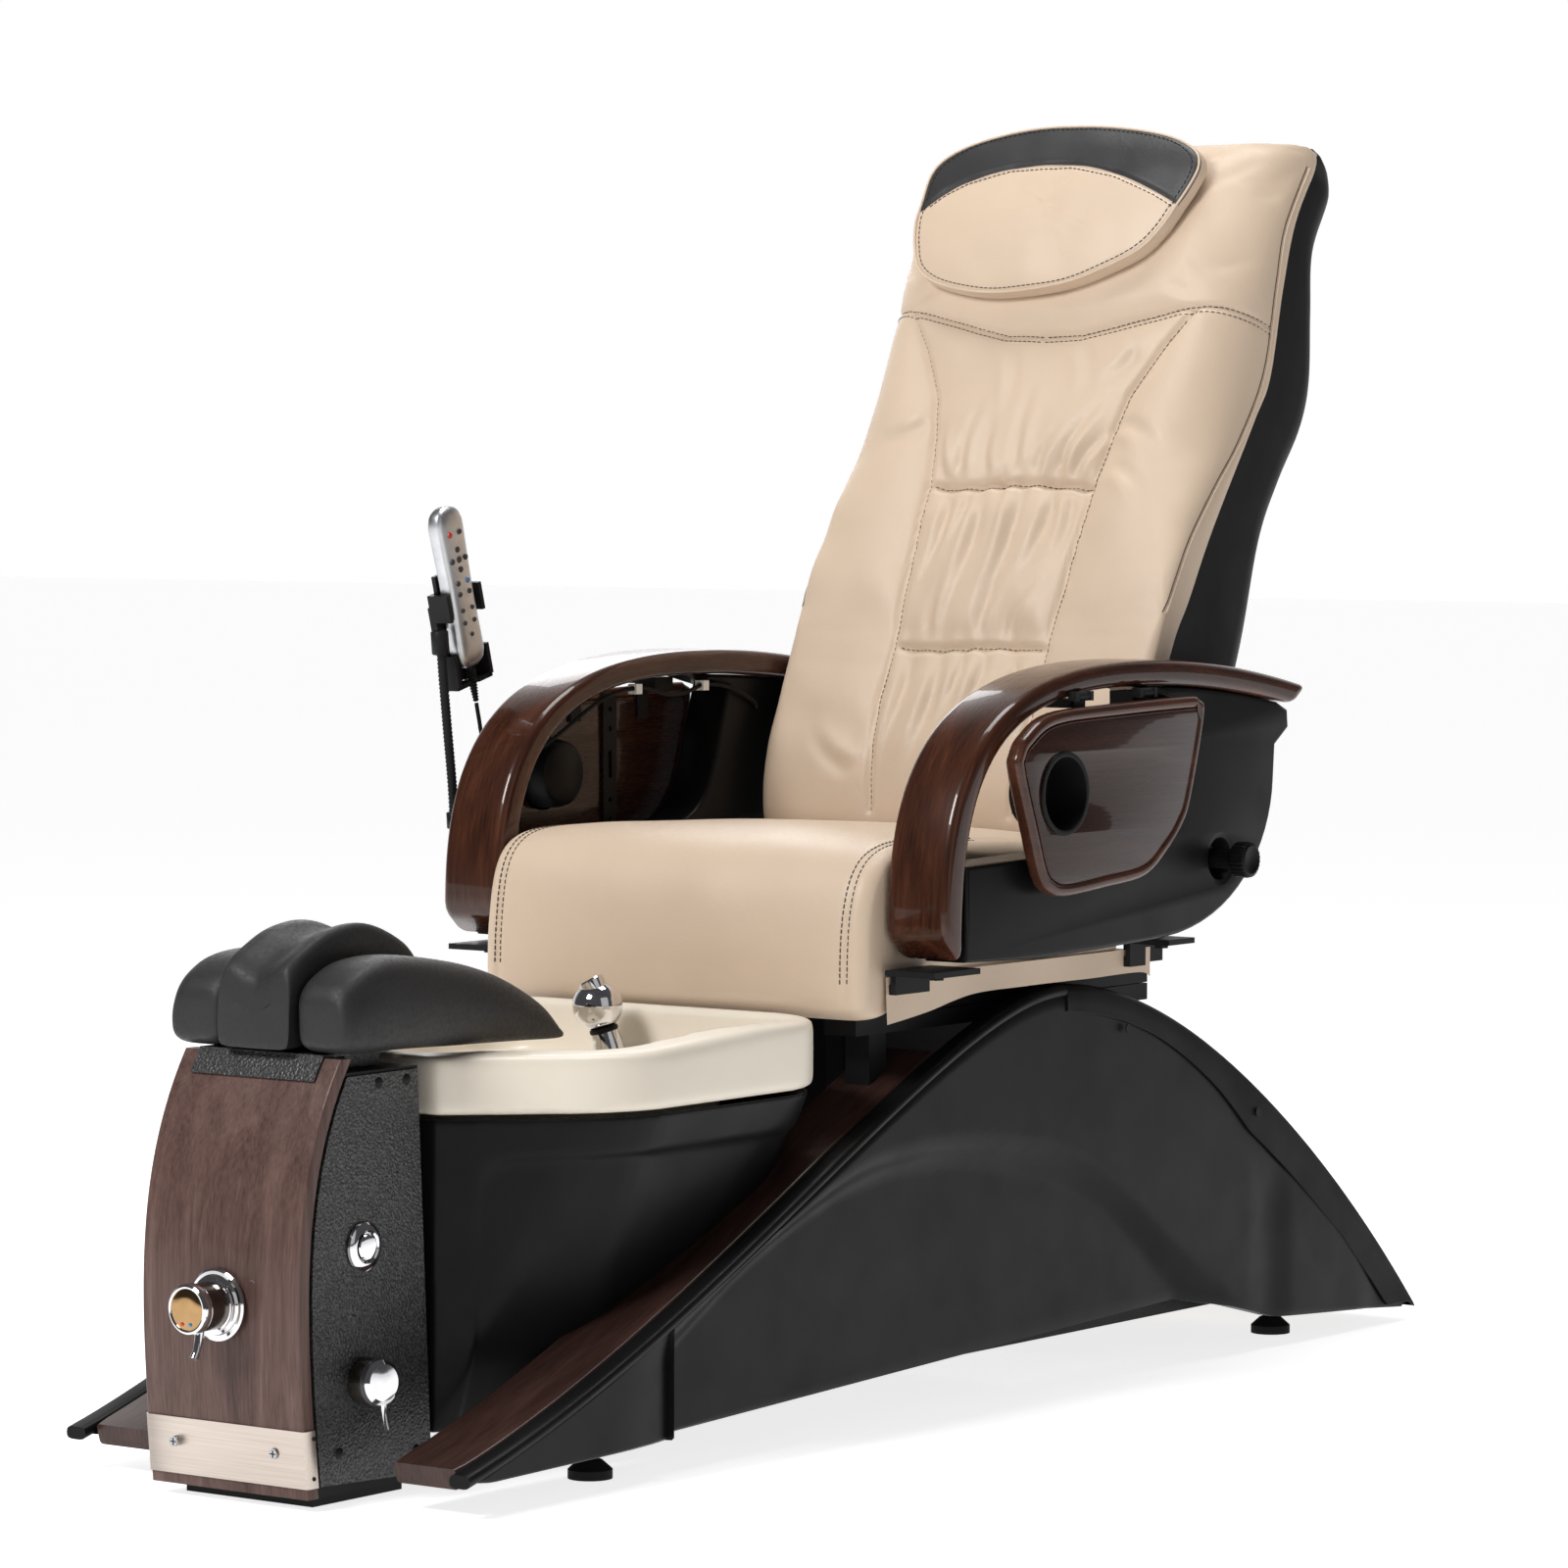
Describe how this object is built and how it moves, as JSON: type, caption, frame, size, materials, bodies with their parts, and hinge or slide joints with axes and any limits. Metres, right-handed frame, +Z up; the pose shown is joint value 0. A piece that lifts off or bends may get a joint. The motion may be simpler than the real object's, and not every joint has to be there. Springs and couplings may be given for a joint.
{
  "type": "pedicure spa chair",
  "caption": "Pedicure spa chair: foot bath on a wooden pedestal, moulded base, sliding seat with wooden arms and folding trays, reclining massage back.",
  "frame": {"origin": "on the floor, under the middle of the chair's overall box", "axes": "+Z up, -Y the way the sitter faces (the foot bath's end), +X the sitter's left"},
  "size_m": [0.731, 1.82, 1.3534],
  "materials": {
    "black_steel": "satin powder coat",
    "wood_laminate": "glossy vertical grain",
    "walnut": "high gloss lacquer",
    "black_vinyl": "pebbled",
    "black_abs": "satin",
    "cream_acrylic": "gloss",
    "stainless": "brushed",
    "chrome": "polished",
    "brass": "machined",
    "white_plastic": "satin",
    "dark_chrome": "dark polished",
    "black_rubber": "matt",
    "beige_leather": "fine grain",
    "charcoal_leather": "fine grain",
    "silver_plastic": "satin metallic",
    "key_plastic": "satin",
    "grey_housing": "satin"
  },
  "bodies": {
    "base": {"base_frame": "black_steel", "pedestal_carcass": "black_abs", "pedestal_front": "wood_laminate", "kick_plate": "stainless", "side_panels": "black_vinyl", "panel_fasteners": "chrome", "footrest_base_plate": "black_abs", "tub_shell": "black_abs", "basin": "cream_acrylic", "drain_fitting": "stainless", "jet_pump": "white_plastic", "mixer_escutcheon": "chrome", "mixer_valve": "brass", "button_bezel": "chrome", "wood_planks": "walnut", "base_shell_left": "black_abs", "base_shell_right": "black_abs", "rear_cover": "black_abs", "sprayer_collar": "chrome", "inlet_fittings": "brass"},
    "mixer_lever": {"mixer_knob": "dark_chrome"},
    "diverter": {"diverter_knob": "dark_chrome"},
    "button": {"air_button": "chrome"},
    "hand_shower": {"sprayer_head": "chrome"},
    "foot_fl": {"foot_front_left": "black_rubber"},
    "foot_fr": {"foot_front_right": "black_rubber"},
    "foot_rl": {"foot_rear_left": "black_rubber"},
    "foot_rr": {"foot_rear_right": "black_rubber"},
    "footrest": {"footrest_wing_left": "charcoal_leather", "footrest_wing_right": "charcoal_leather", "footrest_saddle": "charcoal_leather"},
    "seat": {"seat_frame": "black_steel", "seat_cushion": "beige_leather", "seat_skirt": "beige_leather", "arm_left": "walnut", "arm_right": "walnut", "arm_shell_left": "black_abs", "arm_shell_right": "black_abs", "arm_brackets": "black_steel", "remote_mast": "black_steel", "remote_cradle": "black_abs", "remote_body": "silver_plastic", "remote_cable": "black_rubber", "cable_clips": "white_plastic", "recline_actuator": "grey_housing"},
    "side_knob": {"arm_knob": "black_rubber"},
    "left_tray": {"tray_left": "walnut", "cup_insert_left": "black_abs", "tray_bracket_left": "stainless"},
    "right_tray": {"tray_right": "walnut", "cup_insert_right": "black_abs", "tray_bracket_right": "stainless"},
    "handset_keys": {"remote_keys": "key_plastic"},
    "back": {"back_frame": "black_steel", "back_shell": "black_abs", "back_cushion": "beige_leather"},
    "pillow": {"head_pillow": "beige_leather"},
    "massage_unit": {"massage_carriage": "grey_housing"},
    "rollers": {"massage_rollers": "white_plastic"},
    "drive_rod": {"actuator_rod": "chrome"}
  },
  "joints": [
    {"name": "mixer_turn", "type": "hinge", "parent": "base", "child": "mixer_lever", "pos_m": [0, -0.88, 0.191], "axis": [0, -1, 0], "range_deg": [-60, 60]},
    {"name": "diverter_turn", "type": "hinge", "parent": "base", "child": "diverter", "pos_m": [0.11, -0.769, 0.116], "axis": [1, 0, 0], "range_deg": [0, 90]},
    {"name": "air_button_press", "type": "slide", "parent": "base", "child": "button", "axis": [-1, 0, 0], "range_m": [0, 0.004], "stiffness_N_per_m": 800},
    {"name": "sprayer_pull", "type": "slide", "parent": "base", "child": "hand_shower", "axis": [0, 0, 1], "range_m": [0, 0.12]},
    {"name": "foot_front_left_turn", "type": "hinge", "parent": "base", "child": "foot_fl", "pos_m": [0.185, -0.531, 0.02], "axis": [0, 0, 1], "continuous": true},
    {"name": "foot_front_right_turn", "type": "hinge", "parent": "base", "child": "foot_fr", "pos_m": [-0.185, -0.531, 0.02], "axis": [0, 0, 1], "continuous": true},
    {"name": "foot_rear_left_turn", "type": "hinge", "parent": "base", "child": "foot_rl", "pos_m": [0.185, 0.706, 0.02], "axis": [0, 0, 1], "continuous": true},
    {"name": "foot_rear_right_turn", "type": "hinge", "parent": "base", "child": "foot_rr", "pos_m": [-0.185, 0.706, 0.02], "axis": [0, 0, 1], "continuous": true},
    {"name": "footrest_slide", "type": "slide", "parent": "base", "child": "footrest", "axis": [0, 1, 0], "range_m": [0, 0.04]},
    {"name": "seat_slide", "type": "slide", "parent": "base", "child": "seat", "axis": [0, 1, 0], "range_m": [0, 0.15]},
    {"name": "back_recline", "type": "hinge", "parent": "seat", "child": "back", "pos_m": [0, 0.372, 0.54], "axis": [-1, 0, 0], "range_deg": [0, 28]},
    {"name": "actuator_extend", "type": "slide", "parent": "seat", "child": "drive_rod", "axis": [0, 1, 0], "range_m": [-0.0585, 0]},
    {"name": "massage_lift", "type": "slide", "parent": "back", "child": "massage_unit", "axis": [0, 0.4226, 0.9063], "range_m": [-0.2, 0.24]},
    {"name": "roller_spin", "type": "hinge", "parent": "massage_unit", "child": "rollers", "pos_m": [0, 0.54032, 0.90256], "axis": [1, 0, 0], "continuous": true},
    {"name": "pillow_slide", "type": "slide", "parent": "back", "child": "pillow", "axis": [0, 0.4226, 0.9063], "range_m": [-0.05, 0]},
    {"name": "tray_left_fold", "type": "hinge", "parent": "seat", "child": "left_tray", "pos_m": [0.336, 0.155, 0.744], "axis": [0, -1, 0], "range_deg": [0, 90]},
    {"name": "tray_right_fold", "type": "hinge", "parent": "seat", "child": "right_tray", "pos_m": [-0.336, 0.155, 0.744], "axis": [0, 1, 0], "range_deg": [0, 90]},
    {"name": "arm_knob_turn", "type": "hinge", "parent": "seat", "child": "side_knob", "pos_m": [0.345, 0.385, 0.56], "axis": [1, 0, 0], "continuous": true},
    {"name": "remote_keys_press", "type": "slide", "parent": "seat", "child": "handset_keys", "axis": [-1, 0, 0], "range_m": [0, 0.001], "stiffness_N_per_m": 600}
  ],
  "couplings": [
    {"joint": "actuator_extend", "follows": "back_recline", "m_per_rad": -0.1185}
  ]
}
